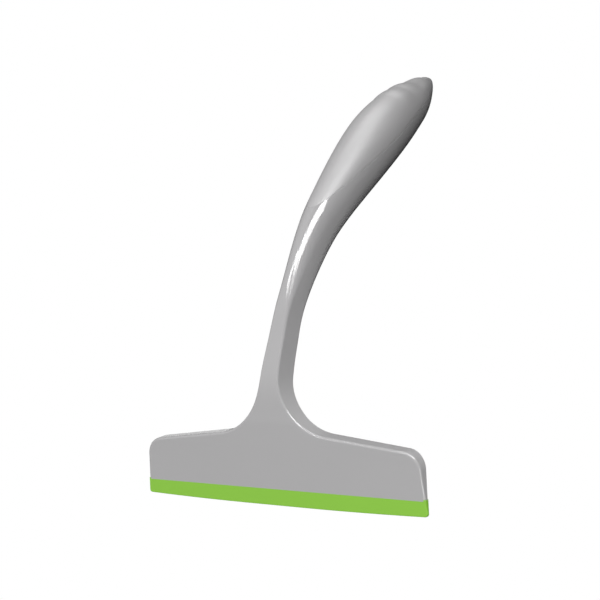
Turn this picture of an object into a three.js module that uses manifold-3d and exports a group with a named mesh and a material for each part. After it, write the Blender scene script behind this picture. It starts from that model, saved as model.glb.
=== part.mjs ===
// Kitchen squeegee: a grey head and handle in one moulding, a cover that makes the front of the
// hollow grip, and a green rubber blade held in the head by a clamp plate.
// Millimetres, Z up, X along the blade, +Y towards the back. The origin is the middle of the
// wiping edge, and XZ is the blade's middle plane.
import * as THREE from 'three';
import { mergeVertices } from 'three/addons/utils/BufferGeometryUtils.js';
import Module from 'manifold-3d';

const wasm = await Module();
wasm.setup();

const degrees = Math.PI / 180;

// Blade: a rubber wedge whose lower part flexes and whose tongue is held in the head
const bladeWidth = 160;
const edgeThickness = 1;
const edgeBow = 0.9;
const edgeFlat = 30;
const edgeCornerRadius = 1.5;
const wedgeAngle = 6.6 * degrees;
const mouthHeight = 7.8;
const flexHeight = 5;
const tongueThickness = 1.2;
const tongueHeight = 12;

// Head: a wedge plate with sloping shoulders
const endLean = 5.1 * degrees;
const shoulderHeight = 37.2;
const shoulderFall = 6.4 * degrees;
const shoulderCrown = 7.5 * degrees;
const endCornerRadius = 9.2;
const neckFilletRadius = 28;
const endWall = 3;

// Clamp plate and the heat stakes that hold it
const clampHeight = 15.5;
const clampCornerRadius = 3;
const stakeSpacing = 33;
const stakeInset = 9;
const stakeHeight = 15;
const stakeRadius = 1.9;
const stakeHeadRadius = 3;
const stakeHeadHeight = 1;

// Neck and handle: sections set across a curved middle line, each a rounded rectangle
const headTop = { y: 0, z: 40, halfWidth: 8.6, cornerRadius: 0.3 };
const neckRoot = { y: 1.2, z: 57.1, halfWidth: 5.6, halfDepth: 6.3, cornerRadius: 0.5 };
const neckWaist = { y: 7.6, z: 76.1, halfWidth: 4.55, halfDepth: 6.4, cornerRadius: 1.2 };
const neckTop = { y: 16, z: 95.6, halfWidth: 4.6, halfDepth: 7.25, cornerRadius: 2.9 };
const gripRoot = { y: 35, z: 124.8, halfWidth: 7.2, halfDepth: 10, cornerRadius: 7.2 };
const gripStart = { y: 54.6, z: 145.2, halfWidth: 10.35, halfDepth: 11.6, cornerRadius: 10.35 };
const gripBelly = { y: 94, z: 178, halfWidth: 15.4, halfDepth: 15.4, cornerRadius: 15.4 };
const gripShoulder = { y: 126.5, z: 199.6, halfWidth: 13, halfDepth: 13, cornerRadius: 13 };
const gripEnd = { y: 156, z: 218, halfWidth: 7, halfDepth: 7, cornerRadius: 7 };
const endRounding = 2.1;

// Places along the middle line, as lengths from the top of the head
const sweepStart = 8.45;
const neckSeam = 25.9;
const hollowStart = 99;
const hollowEnd = 217.4;
const pegPlaces = [130.6, 189.6];
const hangHolePlace = 233.69;

// Thumb rest: shallow waves and a dip in front of the upturned end
const waveStart = 195.3;
const waveLength = 12.8;
const waveCount = 2;
const waveHeight = 0.8;
const dipLength = 17.2;
const dipDepth = 0.7;
const restInnerAngle = 50 * degrees;
const restOuterAngle = 75 * degrees;

// Hollow of the grip, and the plane where its front cover parts from the body: it leaves the neck's
// front at partingFront and climbs to the handle's end
const wall = 2.4;
const partingFront = { y: 35.2, z: 141.3 };
const partingAngle = 32.7 * degrees;
const coverNose = 1.5;
const pegRadius = 1.5;
const pegGrip = 5;
const bossRadius = 3.2;

// Hang hole through the end of the handle
const hangHoleRadius = 3.25;

// Clearances between pieces
const fitClearance = 0.2;
const flexClearance = 0.2;
const cutMargin = 5;

// Facets along and around the rounded shapes
const sectionSides = 32;
const hollowSides = 20;
const stepsPerSection = 6;
const endSteps = 10;
const roundSides = 16;
const arcSteps = 8;

const halfBlade = bladeWidth / 2;
const halfThickness = (z) => edgeThickness / 2 + z * Math.tan(wedgeAngle);
const endX = (z) => halfBlade - z * Math.tan(endLean);
headTop.halfDepth = halfThickness(headTop.z);
const sections = [
  headTop, neckRoot, neckWaist, neckTop, gripRoot, gripStart, gripBelly, gripShoulder, gripEnd,
];
const lastSection = sections.length - 1;
const endStart = 1 - 1 / lastSection;

// A smooth curve through the sections, and its own parameter at a length along it
const middleLine = new THREE.CatmullRomCurve3(
  sections.map((s) => new THREE.Vector3(0, s.y, s.z)), false, 'catmullrom');
const sectionSizes = new THREE.CatmullRomCurve3(
  sections.map((s) => new THREE.Vector3(s.halfWidth, s.halfDepth, s.cornerRadius)), false, 'catmullrom');
const along = (length) => middleLine.getUtoTmapping(0, length);

function sectionAt(share) {
  const tangent = middleLine.getTangent(share);
  const size = sectionSizes.getPoint(share);
  const beyond = Math.max((share - endStart) * lastSection, 0);
  const closing = Math.sqrt(1 - beyond ** endRounding);
  return {
    centre: middleLine.getPoint(share),
    front: new THREE.Vector3(0, -tangent.z, tangent.y),
    halfWidth: size.x * closing,
    halfDepth: size.y * closing,
    cornerRadius: size.z * closing,
  };
}

// Height of the thumb rest over the plain handle
function thumbRelief(share, angleFromFront) {
  const across = (Math.cos(angleFromFront) - Math.cos(restOuterAngle))
    / (Math.cos(restInnerAngle) - Math.cos(restOuterAngle));
  const fade = Math.min(Math.max(across, 0), 1);
  const waveEnd = waveStart + waveCount * waveLength;
  const shareOf = (from, to) => (share - along(from)) / (along(to) - along(from));
  const wave = waveCount * shareOf(waveStart, waveEnd);
  const dip = shareOf(waveEnd, waveEnd + dipLength);
  if (wave > 0 && wave < waveCount) return fade * waveHeight * Math.abs(Math.sin(Math.PI * wave));
  if (dip > 0 && dip < 1) return -fade * dipDepth * Math.sin(Math.PI * dip) ** 2;
  return 0;
}

function solid(geometry) {
  geometry.deleteAttribute('normal');
  geometry.deleteAttribute('uv');
  const merged = mergeVertices(geometry);
  return new wasm.Manifold(new wasm.Mesh({
    numProp: 3,
    vertProperties: new Float32Array(merged.attributes.position.array),
    triVerts: new Uint32Array(merged.index.array),
  }));
}

function piece(name, body, material) {
  const { vertProperties, triVerts } = body.getMesh();
  const geometry = new THREE.BufferGeometry();
  geometry.setAttribute('position', new THREE.BufferAttribute(vertProperties, 3));
  geometry.setIndex(new THREE.BufferAttribute(triVerts, 1));
  geometry.computeVertexNormals();
  const mesh = new THREE.Mesh(geometry, material);
  mesh.name = name;
  return mesh;
}

// A solid through the handle's sections: shapeAt gives each section's outline point (x, towards front)
function loft(stations, sides, shapeAt) {
  const rows = stations.length - 1;
  const geometry = new THREE.CylinderGeometry(1, 1, 1, sides, rows);
  const position = geometry.attributes.position;
  for (let i = 0; i < position.count; i += 1) {
    const row = Math.round((position.getY(i) + 0.5) * rows);
    const section = sectionAt(stations[row]);
    const x = position.getX(i);
    const z = position.getZ(i);
    const share = Math.hypot(x, z);
    const [across, towardsFront] = shapeAt(section, Math.atan2(z, x), stations[row]);
    const point = section.centre.clone().addScaledVector(section.front, towardsFront * share);
    position.setXYZ(i, across * share, point.y, point.z);
  }
  return solid(geometry);
}

// Even steps between two parameters of the curve
function stationsBetween(from, to, stepsEach = stepsPerSection) {
  const count = Math.max(Math.ceil((to - from) * lastSection * stepsEach), 2);
  return Array.from({ length: count + 1 }, (_, i) => from + (to - from) * i / count);
}

function roundedRectangle(halfWidth, halfDepth, radius, angle) {
  const corner = Math.min(radius, halfWidth, halfDepth);
  const cos = Math.cos(angle);
  const sin = Math.sin(angle);
  const sideOf = (value) => (Math.abs(value) < 1e-6 ? 0 : Math.sign(value));
  return [
    sideOf(cos) * (halfWidth - corner) + corner * cos,
    sideOf(sin) * (halfDepth - corner) + corner * sin,
  ];
}

// The handle's outer form, from the neck seam to the rounded end
function handleForm() {
  const seam = along(neckSeam);
  const plain = stationsBetween(seam, endStart);
  const seamOverlap = seam - 1 / stepsPerSection / lastSection;
  const turns = Array.from({ length: endSteps }, (_, i) => (i + 1) / (endSteps + 0.7) * Math.PI / 2);
  const stations = [seamOverlap, ...plain, ...turns.map((a) => endStart + Math.sin(a) / lastSection)];
  return loft(stations, sectionSides, ({ halfWidth, halfDepth, cornerRadius }, angle, share) => {
    const inset = share < seam ? cornerRadius : 0;
    const [x, n] = roundedRectangle(halfWidth - inset, halfDepth - inset, cornerRadius, angle);
    const relief = thumbRelief(share, angle - Math.PI / 2);
    return [x + relief * Math.cos(angle), n + relief * Math.sin(angle)];
  });
}

// The handle's form drawn in by a constant wall
function handleCore(inset, from, to, sides = hollowSides) {
  const stations = stationsBetween(along(from), along(to));
  return loft(stations, sides, ({ halfWidth, halfDepth, cornerRadius }, angle) => (
    roundedRectangle(halfWidth - inset, halfDepth - inset, Math.max(cornerRadius - inset, wall / 2), angle)));
}

// Space of the cover: over the parting plane, from the cover's blunt nose to past the handle's end
function coverSpace(inset) {
  const length = middleLine.getLength();
  const height = 2 * gripBelly.halfDepth;
  const geometry = new THREE.BoxGeometry(2 * gripBelly.halfWidth + cutMargin, length, height);
  geometry.translate(0, coverNose + inset + length / 2, inset + height / 2);
  geometry.rotateX(partingAngle);
  return solid(geometry.translate(0, partingFront.y, partingFront.z));
}

// A closed shape through corners [x, y, radius], with each corner rounded by an arc
function roundedShape(corners) {
  const points = corners.map(([x, y]) => new THREE.Vector2(x, y));
  const shape = new THREE.Shape();
  points.forEach((corner, i) => {
    const radius = corners[i][2] ?? 0;
    const before = points[(i + points.length - 1) % points.length];
    const after = points[(i + 1) % points.length];
    const into = corner.clone().sub(before).normalize();
    const out = after.clone().sub(corner).normalize();
    const turn = Math.atan2(into.cross(out), into.dot(out));
    const start = corner.clone().addScaledVector(into, -radius * Math.tan(Math.abs(turn) / 2));
    if (i === 0) shape.moveTo(start.x, start.y);
    else shape.lineTo(start.x, start.y);
    if (radius === 0) return;
    const towards = new THREE.Vector2(-into.y, into.x).multiplyScalar(Math.sign(turn));
    const centre = start.clone().addScaledVector(towards, radius);
    const from = Math.atan2(start.y - centre.y, start.x - centre.x);
    shape.absarc(centre.x, centre.y, radius, from, from + turn, turn < 0);
  });
  shape.closePath();
  return shape;
}

// A shape drawn in X and Z, as a slab between two Y planes
function slabAlongY(shape, fromY, toY) {
  const geometry = new THREE.ExtrudeGeometry(shape, {
    depth: toY - fromY, bevelEnabled: false, curveSegments: arcSteps,
  });
  geometry.rotateX(Math.PI / 2);
  geometry.translate(0, toY, 0);
  return geometry;
}

// A section drawn in Y and Z, as a bar along X
function barAlongX(shape, length) {
  const geometry = new THREE.ExtrudeGeometry(shape, {
    depth: length, bevelEnabled: false, curveSegments: arcSteps,
  });
  geometry.translate(0, 0, -length / 2);
  const turned = new THREE.Matrix4().makeBasis(
    new THREE.Vector3(0, 1, 0), new THREE.Vector3(0, 0, 1), new THREE.Vector3(1, 0, 0));
  return geometry.applyMatrix4(turned);
}

function cylinderAlong(direction, from, length, radius) {
  const geometry = new THREE.CylinderGeometry(radius, radius, length, roundSides);
  geometry.translate(0, length / 2, 0);
  geometry.applyQuaternion(new THREE.Quaternion().setFromUnitVectors(new THREE.Vector3(0, 1, 0), direction));
  return geometry.translate(from.x, from.y, from.z);
}

// Head: front outline and side profile, each a prism, and the head is what they share
function headForm() {
  const shoulderAt = (x) => shoulderHeight - x * Math.tan(shoulderFall);
  const seam = sectionAt(along(neckSeam));
  const neckSlope = (neckRoot.halfWidth - seam.halfWidth) / (seam.centre.z - neckRoot.z);
  const neckEdge = (z) => neckRoot.halfWidth - neckSlope * (z - neckRoot.z);
  const cornerX = (halfBlade - shoulderHeight * Math.tan(endLean))
    / (1 - Math.tan(shoulderFall) * Math.tan(endLean));
  const filletZ = (shoulderHeight - (neckRoot.halfWidth + neckSlope * neckRoot.z) * Math.tan(shoulderFall))
    / (1 - neckSlope * Math.tan(shoulderFall));
  const half = [
    [endX(0), 0],
    [cornerX, shoulderAt(cornerX), endCornerRadius],
    [neckEdge(filletZ), filletZ, neckFilletRadius],
    [neckEdge(neckWaist.z), neckWaist.z],
  ];
  const mirrored = half.map(([x, z, r]) => [-x, z, r]).reverse();
  const reach = neckWaist.y + neckWaist.halfDepth + cutMargin;
  const outline = slabAlongY(roundedShape([...half, ...mirrored]), -reach, reach);
  const crown = new THREE.Matrix4().set(1, 0, 0, 0, 0, 1, 0, 0, 0, Math.tan(shoulderCrown), 1, 0, 0, 0, 0, 1);
  outline.applyMatrix4(crown);
  const profile = new THREE.Shape();
  const places = stationsBetween(along(sweepStart), along(neckSeam), 2 * stepsPerSection);
  const sides = places.map((share) => sectionAt(share));
  const onSide = (s, way) => s.centre.clone().addScaledVector(s.front, way * s.halfDepth);
  profile.moveTo(-halfThickness(mouthHeight), mouthHeight);
  profile.lineTo(halfThickness(mouthHeight), mouthHeight);
  profile.lineTo(halfThickness(headTop.z), headTop.z);
  sides.map((s) => onSide(s, -1)).forEach((p) => profile.lineTo(p.y, p.z));
  sides.map((s) => onSide(s, 1)).reverse().forEach((p) => profile.lineTo(p.y, p.z));
  profile.lineTo(-halfThickness(headTop.z), headTop.z);
  profile.closePath();
  return solid(outline).intersect(solid(barAlongX(profile, bladeWidth + cutMargin)));
}

// Outline of the pocket in the head's back, drawn in by a clearance
function pocketShape(inset) {
  const bottom = mouthHeight - (inset > 0 ? 0 : cutMargin);
  const top = mouthHeight + clampHeight - inset;
  const x = (z) => endX(z) - endWall - inset;
  return roundedShape([
    [x(bottom), bottom], [x(top), top, clampCornerRadius],
    [-x(top), top, clampCornerRadius], [-x(bottom), bottom],
  ]);
}

const stakesEachSide = Math.floor((endX(stakeHeight) - endWall - stakeInset) / stakeSpacing);
const stakePlaces = Array.from(
  { length: 2 * stakesEachSide + 1 }, (_, i) => (i - stakesEachSide) * stakeSpacing);
const backNormal = new THREE.Vector3(0, Math.cos(wedgeAngle), -Math.sin(wedgeAngle));
const stakeSeat = tongueThickness / 2 + fitClearance;

// Clear holes for the stakes, through the blade's tongue and the clamp plate
function stakeHoles(body) {
  return stakePlaces.reduce((cut, x) => cut.subtract(solid(cylinderAlong(
    backNormal, new THREE.Vector3(x, 0, stakeHeight).addScaledVector(backNormal, -cutMargin),
    3 * cutMargin, stakeRadius + fitClearance))), body);
}

// A heat stake stands on the head's front wall, and its flattened head holds the clamp plate
function stake(x) {
  const buried = stakeSeat + fitClearance;
  const backFace = halfThickness(stakeHeight) * Math.cos(wedgeAngle) + fitClearance;
  const dome = new THREE.EllipseCurve(0, backFace, stakeHeadRadius, stakeHeadHeight, 0, Math.PI / 2);
  const profile = [
    new THREE.Vector2(0, -buried), new THREE.Vector2(stakeRadius, -buried),
    new THREE.Vector2(stakeRadius, backFace), ...dome.getPoints(arcSteps / 2),
  ];
  profile[profile.length - 1].x = 0;
  const geometry = new THREE.LatheGeometry(profile, roundSides);
  geometry.applyQuaternion(new THREE.Quaternion().setFromUnitVectors(new THREE.Vector3(0, 1, 0), backNormal));
  return geometry.translate(x, 0, stakeHeight);
}

// Cover pegs and their bosses stand square to the middle line, between the cover and the back wall
function pegAt(place, fromDepth, toDepth, radius) {
  const { centre, front } = sectionAt(along(place));
  const start = centre.clone().addScaledVector(front, fromDepth);
  return cylinderAlong(front, start, toDepth - fromDepth, radius);
}

function hangHole() {
  const { centre } = sectionAt(along(hangHolePlace));
  const reach = gripBelly.halfDepth + cutMargin;
  const bottom = centre.clone().setZ(centre.z - reach);
  return solid(cylinderAlong(new THREE.Vector3(0, 0, 1), bottom, 2 * reach, hangHoleRadius));
}

function handleBody() {
  const pocket = solid(slabAlongY(pocketShape(0), -stakeSeat, neckWaist.y + cutMargin));
  const hollow = handleCore(wall, hollowStart, hollowEnd);
  let body = handleForm().add(headForm()).subtract(pocket).subtract(hollow)
    .subtract(coverSpace(0)).subtract(hangHole());
  stakePlaces.forEach((x) => {
    body = body.add(solid(stake(x)));
  });
  pegPlaces.forEach((place) => {
    const boss = solid(pegAt(place, wall / 2 - sectionAt(along(place)).halfDepth, 0, bossRadius));
    const bore = solid(pegAt(place, -pegGrip - fitClearance, cutMargin, pegRadius + fitClearance));
    body = body.add(boss.subtract(bore));
  });
  return body;
}

function gripCover() {
  let cover = handleForm().intersect(coverSpace(fitClearance))
    .subtract(handleCore(wall, hollowStart, hollowEnd)).subtract(hangHole());
  pegPlaces.forEach((place) => {
    const root = sectionAt(along(place)).halfDepth - wall / 2;
    cover = cover.add(solid(pegAt(place, -pegGrip, root, pegRadius)));
  });
  return cover;
}

// The clamp plate fills the pocket behind the blade's tongue, flush with the head's back
function clampPlate() {
  const plate = solid(slabAlongY(pocketShape(fitClearance), stakeSeat, neckWaist.y + cutMargin));
  return stakeHoles(plate.intersect(headForm()));
}

// Front outline of the rubber: leaning ends and a slightly bowed wiping edge
function bladeOutline() {
  const top = mouthHeight + cutMargin;
  const bend = edgeFlat / 2;
  const end = endX(edgeBow);
  const shape = new THREE.Shape();
  shape.moveTo(-bend, 0);
  shape.lineTo(bend, 0);
  shape.quadraticCurveTo((bend + end) / 2, 0, end - edgeCornerRadius, edgeBow);
  shape.quadraticCurveTo(end, edgeBow, endX(edgeBow + edgeCornerRadius), edgeBow + edgeCornerRadius);
  shape.lineTo(endX(top), top);
  shape.lineTo(-endX(top), top);
  shape.lineTo(-endX(edgeBow + edgeCornerRadius), edgeBow + edgeCornerRadius);
  shape.quadraticCurveTo(-end, edgeBow, -end + edgeCornerRadius, edgeBow);
  shape.quadraticCurveTo(-(bend + end) / 2, 0, -bend, 0);
  return solid(slabAlongY(shape, -cutMargin, cutMargin));
}

const noseRadius = halfThickness(flexHeight);

// Rubber held by the head: the tongue in the pocket and the band that the lip turns under
function bladeRoot() {
  const grooveRadius = noseRadius + flexClearance;
  const top = mouthHeight - fitClearance;
  const lip = Math.acos(Math.min(halfThickness(flexHeight + noseRadius / 2) / grooveRadius, 1));
  const band = new THREE.Shape();
  band.moveTo(halfThickness(top), top);
  band.lineTo(-halfThickness(top), top);
  band.absarc(0, flexHeight, grooveRadius, Math.PI - lip, lip, true);
  band.closePath();
  const strip = solid(barAlongX(band, bladeWidth)).intersect(bladeOutline());
  const x = endX(mouthHeight) - endWall - fitClearance;
  const topX = endX(mouthHeight + tongueHeight) - endWall - fitClearance;
  const tongueShape = roundedShape([
    [-x, top - fitClearance], [x, top - fitClearance],
    [topX, mouthHeight + tongueHeight], [-topX, mouthHeight + tongueHeight],
  ]);
  const tongue = solid(slabAlongY(tongueShape, -tongueThickness / 2, tongueThickness / 2));
  return stakeHoles(strip.add(tongue));
}

// The lip hangs from a round nose on the flex line and tapers to the wiping edge
function bladeLip() {
  const section = new THREE.Shape();
  section.moveTo(-halfThickness(0), 0);
  section.lineTo(halfThickness(0), 0);
  section.lineTo(noseRadius, flexHeight);
  section.absarc(0, flexHeight, noseRadius, 0, Math.PI, false);
  section.closePath();
  return solid(barAlongX(section, bladeWidth)).intersect(bladeOutline());
}

const bodyGrey = new THREE.MeshStandardMaterial({ color: 0xa8a7a7, roughness: 0.3, metalness: 0 });
const coverGrey = new THREE.MeshStandardMaterial({ color: 0xa8a7a7, roughness: 0.5, metalness: 0 });
const clampGrey = new THREE.MeshStandardMaterial({ color: 0xa6a5a5, roughness: 0.42, metalness: 0 });
const rootGreen = new THREE.MeshStandardMaterial({ color: 0x87c14a, roughness: 0.55, metalness: 0 });
const lipGreen = new THREE.MeshStandardMaterial({ color: 0x87c14a, roughness: 0.55, metalness: 0 });

const squeegee = new THREE.Group();
squeegee.add(
  piece('handle_body', handleBody(), bodyGrey),
  piece('grip_cover', gripCover(), coverGrey),
  piece('blade_clamp_plate', clampPlate(), clampGrey),
  piece('blade_root', bladeRoot(), rootGreen),
  piece('blade_lip', bladeLip(), lipGreen),
);

export default squeegee;
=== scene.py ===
import math

import bmesh
import bpy
from mathutils import Matrix, Vector


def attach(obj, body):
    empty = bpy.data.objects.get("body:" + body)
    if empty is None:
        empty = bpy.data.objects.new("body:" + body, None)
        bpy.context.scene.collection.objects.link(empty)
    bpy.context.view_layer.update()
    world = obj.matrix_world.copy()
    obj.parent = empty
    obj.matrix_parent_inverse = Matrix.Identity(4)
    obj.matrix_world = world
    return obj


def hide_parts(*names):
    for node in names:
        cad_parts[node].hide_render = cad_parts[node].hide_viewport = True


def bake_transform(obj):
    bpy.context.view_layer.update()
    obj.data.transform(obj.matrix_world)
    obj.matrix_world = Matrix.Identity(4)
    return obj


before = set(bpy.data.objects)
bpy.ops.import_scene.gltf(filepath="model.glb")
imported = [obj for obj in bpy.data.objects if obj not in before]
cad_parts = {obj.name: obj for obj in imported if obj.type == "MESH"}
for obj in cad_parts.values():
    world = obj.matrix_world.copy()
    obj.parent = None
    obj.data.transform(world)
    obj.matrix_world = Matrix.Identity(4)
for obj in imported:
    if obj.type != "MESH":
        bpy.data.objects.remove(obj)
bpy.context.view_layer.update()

# Head and handle body: one glossy grey moulding. The head is a wedge plate with sloping shoulders, and the
# neck is a slim rib that swells into the back half of the grip. The head's back has a pocket for the
# plate that clamps the blade, and five stakes whose flattened ends hold it.
mm = 0.001
half_blade = 80 * mm
edge_half = 0.5 * mm
wedge = math.tan(math.radians(6.6))
end_lean = math.tan(math.radians(5.1))
mouth_z = 7.8 * mm
shoulder_z = 37.2 * mm
shoulder_fall = math.tan(math.radians(6.4))
shoulder_crown = math.tan(math.radians(7.5))
corner_round = 9.2 * mm
neck_fillet = 28 * mm
head_edge = 1.1 * mm
end_wall = 3 * mm
pocket_top, pocket_round, pocket_floor = 23.3 * mm, 3 * mm, -0.8 * mm
# y, z, half width, half depth and corner radius of each section of the neck and grip, in millimetres
sections = [
    (0, 40, 8.6, 5.13, 1.1), (1.2, 57.1, 5.6, 6.3, 1.1), (7.6, 76.1, 4.55, 6.4, 1.3),
    (16, 95.6, 4.6, 7.25, 2.9), (35, 124.8, 7.2, 10, 7.2), (54.6, 145.2, 10.35, 11.6, 10.35),
    (94, 178, 15.4, 15.4, 15.4), (126.5, 199.6, 13, 13, 13), (156, 218, 7, 7, 7),
]
last = len(sections) - 1
end_rounding = 2.1


def mix(a, b, t):
    return a + (b - a) * t


def ease(a, b, t):
    """A soft step from 0 at a to 1 at b."""
    t = min(max((t - a) / (b - a), 0), 1)
    return t * t * (3 - 2 * t)


def half_thickness(z):
    return edge_half + z * wedge


def end_x(z):
    return half_blade - z * end_lean


def section(u):
    """Centre y and z, half width, half depth, corner radius and lean of the handle at section number u."""
    i = min(int(u), last - 1)
    t = u - i
    b, c = Vector(sections[i]), Vector(sections[i + 1])
    a = Vector(sections[i - 1]) if i else 2 * b - c
    d = Vector(sections[i + 2]) if i + 2 <= last else 2 * c - b
    k1, k2, k3 = c - a, 2 * a - 5 * b + 4 * c - d, 3 * b - a - 3 * c + d
    y, z, width, depth, radius = (2 * b + k1 * t + k2 * t ** 2 + k3 * t ** 3) * (mm / 2)
    slope = k1 + 2 * k2 * t + 3 * k3 * t ** 2
    closing = math.sqrt(max(1 - max(u - last + 1, 0) ** end_rounding, 1e-8))
    radius = min(radius, width, depth)
    return y, z, width * closing, depth * closing, radius * closing, math.atan2(slope[0], slope[1])


neck_sections, halvings = 3, 30


def section_at_height(z):
    """Number of the neck's section at a height, found by halving."""
    low, high = 0, neck_sections
    for _ in range(halvings):
        u = (low + high) / 2
        low, high = (u, high) if section(u)[1] < z else (low, u)
    return u


arc_steps = 20
edge_hold, front_hold, side_hold = 0.5 * mm, 0.3, 0.6


def half_ring(width, depth, radius):
    """A section's outline from its front middle to the back's flat: (x, towards front, angle)."""
    turns = [math.pi / 2 * i / arc_steps for i in range(arc_steps + 1)]
    middle, side = width - radius, depth - radius
    hold = min(edge_hold, middle * front_hold)
    points = [(x, depth, 0) for x in (0, middle / 2, middle - hold)]
    points += [(middle + math.sin(a) * radius, side + math.cos(a) * radius, a) for a in turns]
    hold = min(edge_hold, side * side_hold)
    points += [(width, n, math.pi / 2) for n in (side - hold, 0, hold - side)]
    for a in turns:
        points.append((middle + math.cos(a) * radius, -side - math.sin(a) * radius, math.pi / 2 + a))
    return points


pocket_rim, closed_share = 0.3 * mm, 0.93


def head_row(x, z, nx, nz, back):
    """A level slice of the head, from its middle to the outline point (x, z) that faces (nx, nz).
    Its back is open to the pocket, closes the pocket's top, or is plain above it."""
    inner_x, inner_z = x - head_edge * nx, z - head_edge * nz
    middle, depth = 0, half_thickness(inner_z)
    if inner_z > sections[0][1] * mm:
        middle, _, _, depth, _, lean = section(section_at_height(inner_z))
        depth /= math.cos(lean)
    pocket_z = min(inner_z, pocket_top)
    over = max(pocket_z - pocket_top + pocket_round, 0)
    reach = end_x(pocket_z) - end_wall - pocket_round + math.sqrt(max(pocket_round ** 2 - over ** 2, 0))
    rim, floor = pocket_rim, -pocket_floor
    if back != 'open':
        reach = min(reach, (inner_x - head_edge) * closed_share)
        rim, floor = 0, -depth
    ring = half_ring(inner_x + head_edge, depth, head_edge)
    behind = [(reach + rim, -depth, 0), (reach, -depth, 0)]
    behind += [(reach * share, floor, 0) for share in (1, 0.5, 0)]
    row = []
    for i, (a, n, _) in enumerate(ring + behind):
        out = max(a - inner_x, 0)
        y = middle - n
        level = inner_z if i < len(ring) or back == 'plain' else pocket_z
        crown = y * shoulder_crown * max(nz, 0)
        row.append(Vector((min(a, inner_x) + out * nx, y, level + out * nz + crown)))
    return row


# The neck's sections turn from level to square, and its sides are partly oval on the way to the round grip
turn_start, turn_end = 1, 2.2
oval_start, oval_full, oval_fade, oval_end = 2.7, 3.6, 5, 6
oval_share, oval_size = 0.5, 1.09
back_steps = 5


def handle_row(u, rise=None):
    """A section of the neck and grip, level at the head and square to the middle line above it."""
    y, z, width, depth, radius, lean = section(u)
    tilt = lean * ease(turn_start, turn_end, u)
    depth /= math.cos(lean - tilt)
    ring = half_ring(width, depth, radius)
    ring += [((width - radius) * k / back_steps, -depth, math.pi) for k in reversed(range(back_steps))]
    oval = oval_share * ease(oval_start, oval_full, u) * (1 - ease(oval_fade, oval_end, u))
    row = []
    for x, n, angle in ring:
        swell = mix(1, oval_size / math.hypot(x / width, n / depth), oval)
        relief = rise(u, angle) if rise else 0
        x = x * swell + relief * math.sin(angle)
        n = n * swell + relief * math.cos(angle)
        row.append(Vector((x, y - n * math.cos(tilt), z + n * math.sin(tilt))))
    return row


def rounded_path(corners):
    """Points (x, z, normal x, normal z) along straight runs with rounded corners (x, z, radius, steps)."""
    path = []
    for i, (x, z, radius, steps) in enumerate(corners):
        here = Vector((x, z))
        into = (here - Vector(corners[i - 1][:2])).normalized() if i else None
        out = (Vector(corners[i + 1][:2]) - here).normalized() if i + 1 < len(corners) else into
        into = into or out
        turn = into.angle_signed(out)
        start = here - into * radius * math.tan(abs(turn) / 2)
        side = Vector((-into.y, into.x)) * (-1 if turn > 0 else 1)
        for k in range(steps + 1):
            turned = Matrix.Rotation(-turn * k / max(steps, 1), 2)
            way = turned @ into
            at = start + side * radius - turned @ side * radius
            path.append((at.x, at.y, way.y, -way.x))
    return path


def between(a, b, count):
    return [tuple(mix(p, q, i / count) for p, q in zip(a, b)) for i in range(1, count)]


# The head's outline climbs its end, rounds the shoulder and sweeps through the fillet into the neck
neck_start, neck_above = 1.35, 1.45
corner_steps, fillet_steps, straight_steps, neck_steps = 14, 16, 8, 3
mouth_hold, mouth_fold, pocket_hold = 0.35 * mm, 0.9, 0.2 * mm
_, neck_z, neck_x, *_ = section(neck_start)
_, above_z, above_x, *_ = section(neck_above)
neck_slope = (neck_x - above_x) / (above_z - neck_z)
corner_x = (half_blade - shoulder_z * end_lean) / (1 - shoulder_fall * end_lean)
fillet_z = (shoulder_z - (neck_x + neck_slope * neck_z) * shoulder_fall) / (1 - neck_slope * shoulder_fall)
outline = rounded_path([
    (end_x(mouth_z), mouth_z, 0, 0),
    (corner_x, shoulder_z - corner_x * shoulder_fall, corner_round, corner_steps),
    (neck_x - neck_slope * (fillet_z - neck_z), fillet_z, neck_fillet, fillet_steps),
    (neck_x, neck_z, 0, 0),
])
mouth, top = outline[0], outline[-1]
corner, fillet = outline[1:corner_steps + 2], outline[corner_steps + 2:-1]
over_mouth = (mouth[0] - mouth_hold * end_lean, mouth[1] + mouth_hold, *mouth[2:])
head_path = [mouth, over_mouth, *between(over_mouth, corner[0], straight_steps), *corner]
head_path += [*between(corner[-1], fillet[0], straight_steps), *fillet]
head_path += between(fillet[-1], top, neck_steps)
rows = []
closed = False
for point in head_path:
    in_pocket = point[1] - head_edge * point[3] < pocket_top - pocket_hold
    if in_pocket or closed:
        rows.append(head_row(*point, 'open' if in_pocket else 'plain'))
    else:
        rows += [head_row(*point, 'open'), head_row(*point, 'closing')]
        closed = True
# The mouth's underside folds in over the blade's tongue
rows.insert(0, [Vector((p.x, mix(p.y, pocket_floor / 2, mouth_fold), p.z)) for p in rows[0]])
grip_steps, end_steps = 114, 24
stations = [mix(neck_start, last - 1, i / grip_steps) for i in range(grip_steps + 1)]
stations += [last - 1 + math.sin(math.pi / 2 * i / end_steps) for i in range(1, end_steps + 1)]
rows += [handle_row(u) for u in stations]


def skin(mesh, rows):
    """A grid of faces through rows of points that are mirrored across the middle plane."""
    columns, lanes = len(rows[0]) - 1, len(rows) - 1
    bmesh.ops.create_grid(mesh, x_segments=2 * columns, y_segments=lanes, size=1)
    for v in mesh.verts:
        column = round((v.co.x + 1) * columns) - columns
        p = rows[round((v.co.y + 1) / 2 * lanes)][abs(column)]
        v.co = (math.copysign(p.x, column), p.y, p.z)


def fill_openings(mesh):
    """Closes what is still open, and turns all faces outwards."""
    bmesh.ops.holes_fill(mesh, edges=[e for e in mesh.edges if e.is_boundary])
    bmesh.ops.recalc_face_normals(mesh, faces=mesh.faces)


merge_gap, sliver_gap = 0.004 * mm, 0.002 * mm


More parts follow.
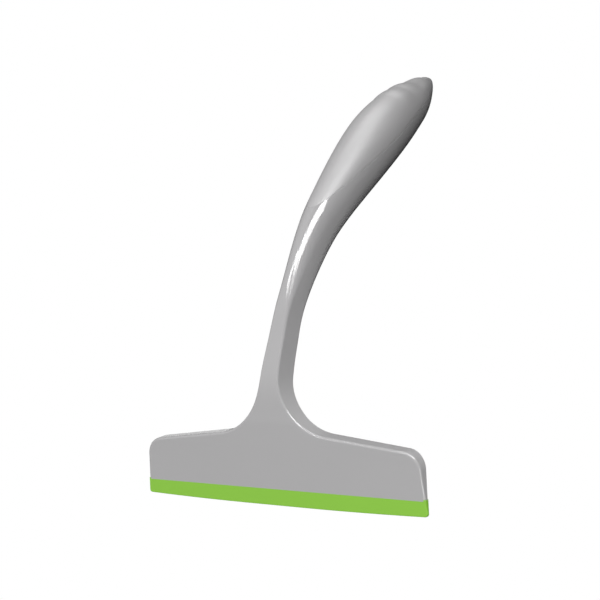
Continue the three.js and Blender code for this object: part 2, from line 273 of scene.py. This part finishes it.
def close_skin(mesh):
    """Joins the skin along the back's middle line and at the handle's end, and closes the mouth."""
    bmesh.ops.remove_doubles(mesh, verts=mesh.verts, dist=merge_gap)
    bmesh.ops.dissolve_degenerate(mesh, edges=mesh.edges, dist=sliver_gap)
    fill_openings(mesh)


hang_y, hang_z, hang_radius = 144.86 * mm, 211.11 * mm, 3.25 * mm
rim_share, end_length = 0.93, 30 * mm


def open_rim(mesh, upper):
    """Opens the handle's end round the hang hole on one side, and puts the rim on the hole's circle."""
    axis = Vector((0, hang_y))
    inside = [f for f in mesh.faces if (f.calc_center_median().xy - axis).length < hang_radius * rim_share
              and (f.normal.z > 0) == upper and f.calc_center_median().z > hang_z - end_length]
    normals = {v: v.normal.copy() for f in inside for v in f.verts}
    bmesh.ops.delete(mesh, geom=inside, context='FACES')
    rim = [e for e in mesh.edges if e.is_boundary and all(v in normals for v in e.verts)]
    for v in {v for e in rim for v in e.verts}:
        radial = (v.co.xy - axis).normalized() * hang_radius + axis - v.co.xy
        n = normals[v]
        v.co += Vector((radial.x, radial.y, -(n.x * radial.x + n.y * radial.y) / n.z))
    return rim


def cut_hang_hole(mesh):
    rims = open_rim(mesh, True) + open_rim(mesh, False)
    bmesh.ops.bridge_loops(mesh, edges=rims)
    bmesh.ops.recalc_face_normals(mesh, faces=mesh.faces)


# The body and the grip's cover part on a plane that leaves the neck's front and climbs to the handle's end
parting_y, parting_z, parting_angle = 35.2 * mm, 141.3 * mm, math.radians(32.7)
parting_up = Vector((0, -math.sin(parting_angle), math.cos(parting_angle)))
seam_gap, rim_round = 0.03 * mm, 0.06 * mm


def part_at_plane(mesh, keep_front):
    """Cuts the handle at the parting plane, closes the cut and rounds its rim."""
    keep = parting_up if keep_front else -parting_up
    place = Vector((0, parting_y, parting_z)) + parting_up * seam_gap * keep_front
    everything = [*mesh.verts, *mesh.edges, *mesh.faces]
    cut = bmesh.ops.bisect_plane(mesh, geom=everything, dist=1e-7, plane_co=place, plane_no=keep,
                                 clear_inner=True)
    rim = [e for e in cut['geom_cut'] if isinstance(e, bmesh.types.BMEdge)]
    bmesh.ops.triangle_fill(mesh, use_beauty=True, edges=rim)
    bmesh.ops.recalc_face_normals(mesh, faces=mesh.faces)
    rim = [e for e in rim if e.is_valid and len(e.link_faces) == 2]
    bmesh.ops.bevel(mesh, geom=rim, offset=rim_round, segments=2, profile=0.5, affect='EDGES', material=-1)


body_mesh = bmesh.new()
skin(body_mesh, rows)
close_skin(body_mesh)
cut_hang_hole(body_mesh)
part_at_plane(body_mesh, keep_front=False)
stake_count, stake_spacing, stake_z = 5, 33 * mm, 14.8 * mm
stake_radius, stake_flatness = 3 * mm, 0.36
for i in range(stake_count):
    made = bmesh.ops.create_uvsphere(body_mesh, u_segments=32, v_segments=12, radius=stake_radius)
    stake = made['verts']
    bmesh.ops.scale(body_mesh, vec=(1, stake_flatness, 1), verts=stake)
    bmesh.ops.rotate(body_mesh, matrix=Matrix.Rotation(-math.atan(wedge), 3, 'X'), verts=stake)
    place = ((i - (stake_count - 1) / 2) * stake_spacing, half_thickness(stake_z), stake_z)
    bmesh.ops.translate(body_mesh, vec=place, verts=stake)


def finish_piece(name, mesh, material, sharp=35):
    """Makes an object of the mesh, shaded smooth but for edges that turn more than sharp degrees."""
    for f in mesh.faces:
        f.smooth = True
    for e in mesh.edges:
        if len(e.link_faces) == 2 and e.calc_face_angle(0) > math.radians(sharp):
            e.smooth = False
    data = bpy.data.meshes.new(name)
    mesh.to_mesh(data)
    mesh.free()
    data.materials.append(material)
    piece = bpy.data.objects.new(name, data)
    bpy.context.scene.collection.objects.link(piece)
    return piece


tone_drift, gloss_drift, grain_depth = 0.03, 0.08, 0.05 * mm


def plastic(name, colour, roughness, grain):
    """Moulded plastic: a faint drift of tone and of gloss, and a fine grain from the mould."""
    material = bpy.data.materials.new(name)
    material.use_nodes = True
    nodes, links = material.node_tree.nodes, material.node_tree.links
    shader = nodes['Principled BSDF']
    place = nodes.new('ShaderNodeTexCoord')
    drift = nodes.new('ShaderNodeTexNoise')
    drift.inputs['Scale'].default_value = 18
    drift.inputs['Detail'].default_value = 3
    tone = nodes.new('ShaderNodeValToRGB')
    tone.color_ramp.elements[0].color = (*[c * (1 - tone_drift) for c in colour], 1)
    tone.color_ramp.elements[1].color = (*[c * (1 + tone_drift) for c in colour], 1)
    gloss = nodes.new('ShaderNodeMapRange')
    gloss.inputs['To Min'].default_value = roughness * (1 - gloss_drift)
    gloss.inputs['To Max'].default_value = roughness * (1 + gloss_drift)
    mould = nodes.new('ShaderNodeTexNoise')
    mould.inputs['Scale'].default_value = 2600
    mould.inputs['Detail'].default_value = 2
    bump = nodes.new('ShaderNodeBump')
    bump.inputs['Strength'].default_value = grain
    bump.inputs['Distance'].default_value = grain_depth
    links.new(place.outputs['Object'], drift.inputs['Vector'])
    links.new(place.outputs['Object'], mould.inputs['Vector'])
    links.new(drift.outputs['Fac'], tone.inputs['Fac'])
    links.new(drift.outputs['Fac'], gloss.inputs['Value'])
    links.new(mould.outputs['Fac'], bump.inputs['Height'])
    links.new(tone.outputs['Color'], shader.inputs['Base Color'])
    links.new(gloss.outputs['Result'], shader.inputs['Roughness'])
    links.new(bump.outputs['Normal'], shader.inputs['Normal'])
    shader.inputs['IOR'].default_value = 1.5
    return material


grey = (0.45, 0.445, 0.45)
glossy_grey = plastic('glossy_grey', grey, roughness=0.1, grain=0.01)
body = finish_piece('handle_and_head', body_mesh, glossy_grey, sharp=28)
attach(body, 'handle')
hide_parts('handle_body')

# Grip cover: a matt grey shell that makes the front of the grip, pressed on with two hidden pegs. Shallow
# waves and a dip rest the thumb, and the hang hole goes through its upturned end.
cover_start = 4
wave_start, wave_step, wave_count, wave_rise, wave_soft = 6.55, 0.35, 2, 0.55 * mm, 0.1
dip_start, dip_length, dip_depth = 6.85, 0.8, 0.95 * mm
rest_inner, rest_outer = math.cos(math.radians(38)), math.cos(math.radians(66))


def thumb_rest(u, angle):
    """Height of the thumb rest over the plain grip."""
    fade = ease(rest_outer, rest_inner, math.cos(angle))
    wave = min(max((u - wave_start) / wave_step, 0), wave_count)
    dip = min(max((u - dip_start) / dip_length, 0), 1)
    rise = wave_rise * (math.hypot(math.sin(math.pi * wave), wave_soft) - wave_soft)
    return fade * (rise - dip_depth * math.sin(math.pi * dip) ** 2)


cover_mesh = bmesh.new()
skin(cover_mesh, [handle_row(u, rise=thumb_rest) for u in stations if u > cover_start])
close_skin(cover_mesh)
cut_hang_hole(cover_mesh)
part_at_plane(cover_mesh, keep_front=True)
cover = finish_piece('grip_front', cover_mesh, plastic('matt_grey', grey, roughness=0.42, grain=0.06))
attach(cover, 'handle')
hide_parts('grip_cover')

# Clamp plate: a flat grey bar that fills the pocket in the head's back and pinches the blade's tongue.
# It was dropped over the five stakes, and their flattened ends hold it.
fit_gap, plate_edge = 0.2 * mm, 0.3 * mm
plate_top, plate_foot = pocket_top - fit_gap, mouth_z + fit_gap
plate_mesh = bmesh.new()
bmesh.ops.create_cube(plate_mesh, size=2)
for v in plate_mesh.verts:
    z = plate_top if v.co.z > 0 else plate_foot
    x = end_x(z) - end_wall - fit_gap
    v.co = (math.copysign(x, v.co.x), half_thickness(z) if v.co.y > 0 else -pocket_floor, z)
top_corners = [e for e in plate_mesh.edges if all(v.co.z > plate_top - mm for v in e.verts)
               and abs(e.verts[0].co.x - e.verts[1].co.x) < mm]
bmesh.ops.bevel(plate_mesh, geom=top_corners, offset=pocket_round, segments=8, profile=0.5,
                affect='EDGES', material=-1)
back_edges = [e for e in plate_mesh.edges if all(v.co.y > plate_edge - pocket_floor for v in e.verts)]
bmesh.ops.bevel(plate_mesh, geom=back_edges, offset=plate_edge, segments=3, profile=0.5,
                affect='EDGES', material=-1)
bmesh.ops.recalc_face_normals(plate_mesh, faces=plate_mesh.faces)
plate = finish_piece('clamp_plate', plate_mesh, plastic('satin_grey', grey, roughness=0.3, grain=0.06))
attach(plate, 'handle')
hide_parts('blade_clamp_plate')

# Blade: one moulded wedge of soft green rubber, flush with the head at the mouth and tapering to a
# thin, slightly bowed wiping edge.
edge_bow, edge_flat, edge_corner, edge_soft = 0.9 * mm, 30 * mm, 1.5 * mm, 0.2 * mm
blade_tuck, flex_z = 0.6 * mm, 5 * mm
blade_top = mouth_z + blade_tuck
width_steps, height_steps, edge_turns = 40, 16, (math.pi / 6, math.pi / 3, math.pi / 2)
end_soft_share, blade_merge = 0.9985, 0.001 * mm


def edge_height(x):
    """Height of the wiping edge: a straight middle, a gentle rise to each end and rounded corners."""
    x, end = abs(x), end_x(edge_bow)
    rise = edge_bow * max((x - edge_flat / 2) / (end - edge_corner - edge_flat / 2), 0) ** 2
    over = min(max(x - end + edge_corner, 0) / edge_corner, 1)
    return min(rise, edge_bow) + edge_corner * (1 - math.sqrt(1 - over ** 2))


def blade_row(share):
    """A slice across the blade from its wiping edge up, with its thickness on x and its length on y."""
    low = edge_height(share * end_x(edge_bow))
    round_off = edge_soft * ease(end_soft_share, 1, abs(share))
    drop = blade_top - low - edge_soft
    profile = [(1, blade_top - drop * i / height_steps) for i in range(height_steps + 1)]
    profile += [(math.cos(a), low + edge_soft * (1 - math.sin(a))) for a in edge_turns]
    row = []
    for side, z in profile:
        thick = half_thickness(z) - round_off - edge_soft * (1 - side)
        row.append(Vector((thick, share * end_x(z), z)))
    row.append(Vector((0, share * end_x(low), low)))
    return row[::-1]


def flat_end(row):
    """A slice drawn in to the blade's middle plane, which closes its end."""
    return [Vector((0, p.y, p.z)) for p in row]


blade_rows = []
for k in range(-width_steps, width_steps + 1):
    blade_rows.append(blade_row(math.sin(math.pi / 2 * k / width_steps)))
blade_mesh = bmesh.new()
skin(blade_mesh, [flat_end(blade_rows[0]), *blade_rows, flat_end(blade_rows[-1])])
along_x = Matrix.Rotation(math.radians(-90), 3, 'Z')
bmesh.ops.rotate(blade_mesh, cent=(0, 0, 0), matrix=along_x, verts=blade_mesh.verts)
bmesh.ops.remove_doubles(blade_mesh, verts=blade_mesh.verts, dist=blade_merge)
fill_openings(blade_mesh)
rubber = plastic('green_rubber', (0.275, 0.615, 0.05), roughness=0.5, grain=0.12)
blade = finish_piece('blade', blade_mesh, rubber, sharp=50)
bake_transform(blade)
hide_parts('blade_root', 'blade_lip')

# Studio: a white floor and surround, and a broad dome of soft light in front that stays out of reflections.
# Overhead lamps and two small cards show only as reflections, two soft spots light the sides of the
# head and neck, and a fill lights the back.
floor_half, floor_drop = 3, 0.5 * mm
floor_mesh = bmesh.new()
bmesh.ops.create_grid(floor_mesh, x_segments=1, y_segments=1, size=floor_half)
white = bpy.data.materials.new('white_floor')
white.use_nodes = True
floor_nodes, floor_links = white.node_tree.nodes, white.node_tree.links
floor_nodes.remove(floor_nodes['Principled BSDF'])
glow = floor_nodes.new('ShaderNodeEmission')
glow.inputs['Color'].default_value = (1, 1, 1, 1)
floor_links.new(glow.outputs['Emission'], floor_nodes['Material Output'].inputs['Surface'])
floor = finish_piece('floor', floor_mesh, white)
floor.data.transform(Matrix.Translation((0, 0, -floor_drop)))
floor.visible_diffuse = False
floor.visible_glossy = False
floor.visible_transmission = False
floor.visible_shadow = False

scene = bpy.context.scene
world = bpy.data.worlds.new('studio')
scene.world = world
world.use_nodes = True
world.cycles_visibility.glossy = False
sky_nodes, sky_links = world.node_tree.nodes, world.node_tree.links
dome_middle, dome_strength, dome_rest = (-0.08, -0.825, 0.56), 1.18, 0.03
dome_rim, dome_full = 0.04, 0.44
way = sky_nodes.new('ShaderNodeTexCoord')
towards = sky_nodes.new('ShaderNodeVectorMath')
towards.operation = 'DOT_PRODUCT'
towards.inputs[1].default_value = dome_middle
falloff = sky_nodes.new('ShaderNodeMapRange')
falloff.interpolation_type = 'SMOOTHSTEP'
falloff.inputs['From Min'].default_value = dome_rim
falloff.inputs['From Max'].default_value = dome_full
falloff.inputs['To Min'].default_value = dome_rest
falloff.inputs['To Max'].default_value = dome_strength
dome = sky_nodes['Background']
dome.inputs['Color'].default_value = (1, 1, 1, 1)
backdrop = sky_nodes.new('ShaderNodeBackground')
backdrop.inputs['Color'].default_value = (1, 1, 1, 1)
backdrop.inputs['Strength'].default_value = 1
ray = sky_nodes.new('ShaderNodeLightPath')
which = sky_nodes.new('ShaderNodeMixShader')
sky_links.new(way.outputs['Generated'], towards.inputs[0])
sky_links.new(towards.outputs['Value'], falloff.inputs['Value'])
sky_links.new(falloff.outputs['Result'], dome.inputs['Strength'])
sky_links.new(ray.outputs['Is Camera Ray'], which.inputs[0])
sky_links.new(dome.outputs['Background'], which.inputs[1])
sky_links.new(backdrop.outputs['Background'], which.inputs[2])
sky_links.new(which.outputs['Shader'], sky_nodes['World Output'].inputs['Surface'])

lamp_height, neck_place = 1, Vector((0.003, 0.02, 0.12))


def lamp(name, across, along, glow=16):
    """An overhead lamp that only shows as a reflection, by its sides' places from over the neck."""
    made = bpy.data.objects.new(name, bpy.data.lights.new(name, 'AREA'))
    made.data.shape = 'RECTANGLE'
    made.data.size = across[1] - across[0]
    made.data.size_y = along[1] - along[0]
    made.data.energy = glow * math.pi * made.data.size * made.data.size_y
    made.location = neck_place + Vector((sum(across) / 2, sum(along) / 2, lamp_height))
    made.visible_diffuse = False
    scene.collection.objects.link(made)


lamp('front_strip', (-0.78, -0.2), (-0.91, -0.82))
lamp('middle_strip', (-0.3, 0.55), (-0.85, -0.73))
lamp('middle_box', (0.1, 0.86), (-0.74, -0.56))
lamp('side_box', (0.26, 1), (-0.58, -0.08))
lamp('grip_box', (-0.4, 0.25), (0, 0.4), glow=5)


def aimed_light(name, kind, place, aim, energy):
    """A light at a place, turned to what it lights."""
    made = bpy.data.objects.new(name, bpy.data.lights.new(name, kind))
    made.data.energy = energy
    turn = (Vector(place) - Vector(aim)).to_track_quat('Z', 'Y').to_matrix().to_4x4()
    made.matrix_world = Matrix.Translation(place) @ turn
    scene.collection.objects.link(made)
    return made


def spot(name, place, aim, width, energy):
    """A soft spot for the sides of the head and neck, kept out of reflections."""
    made = aimed_light(name, 'SPOT', place, aim, energy)
    made.data.shadow_soft_size = 0.06
    made.data.spot_size = math.radians(width)
    made.data.spot_blend = 0.5
    made.visible_glossy = False


spot('side_spot', (0.74, -0.15, 0.03), (0.02, 0, 0.04), width=17, energy=4.2)
spot('shoulder_spot', (0.36, 0.28, 0.69), (0.03, 0, 0.035), width=13, energy=6)


def card(name, place, aim, size, glow):
    """A small lit card that only shows as a reflection."""
    made = aimed_light(name, 'AREA', place, aim, glow * math.pi * size ** 2)
    made.data.size = size
    made.visible_diffuse = False


card('left_card', (-0.85, 0.87, 0.23), (-0.045, 0, 0.035), size=0.25, glow=0.7)
card('right_card', (0.85, -0.54, -0.1), (0.078, 0, 0.02), size=0.3, glow=10)
fill = aimed_light('back_fill', 'AREA', (-0.87, 1.22, 0.25), (0, 0.005, 0.1), energy=12)
fill.data.size = 0.6
fill.visible_glossy = False

camera = bpy.data.objects.new('camera', bpy.data.cameras.new('camera'))
camera.data.lens = 72
camera.data.sensor_width = 36
camera_place = (0.3349, -0.4466, 0.0965)
camera_right = Vector((0.8134, 0.5809, -0.0304))
camera_up = Vector((0.0234, 0.0196, 0.9994))
camera_back = Vector((0.5812, -0.8137, 0.0023))
camera_turn = Matrix((camera_right, camera_up, camera_back)).transposed().to_4x4()
camera.matrix_world = Matrix.Translation(camera_place) @ camera_turn
scene.collection.objects.link(camera)
scene.camera = camera
scene.view_settings.view_transform = 'Standard'
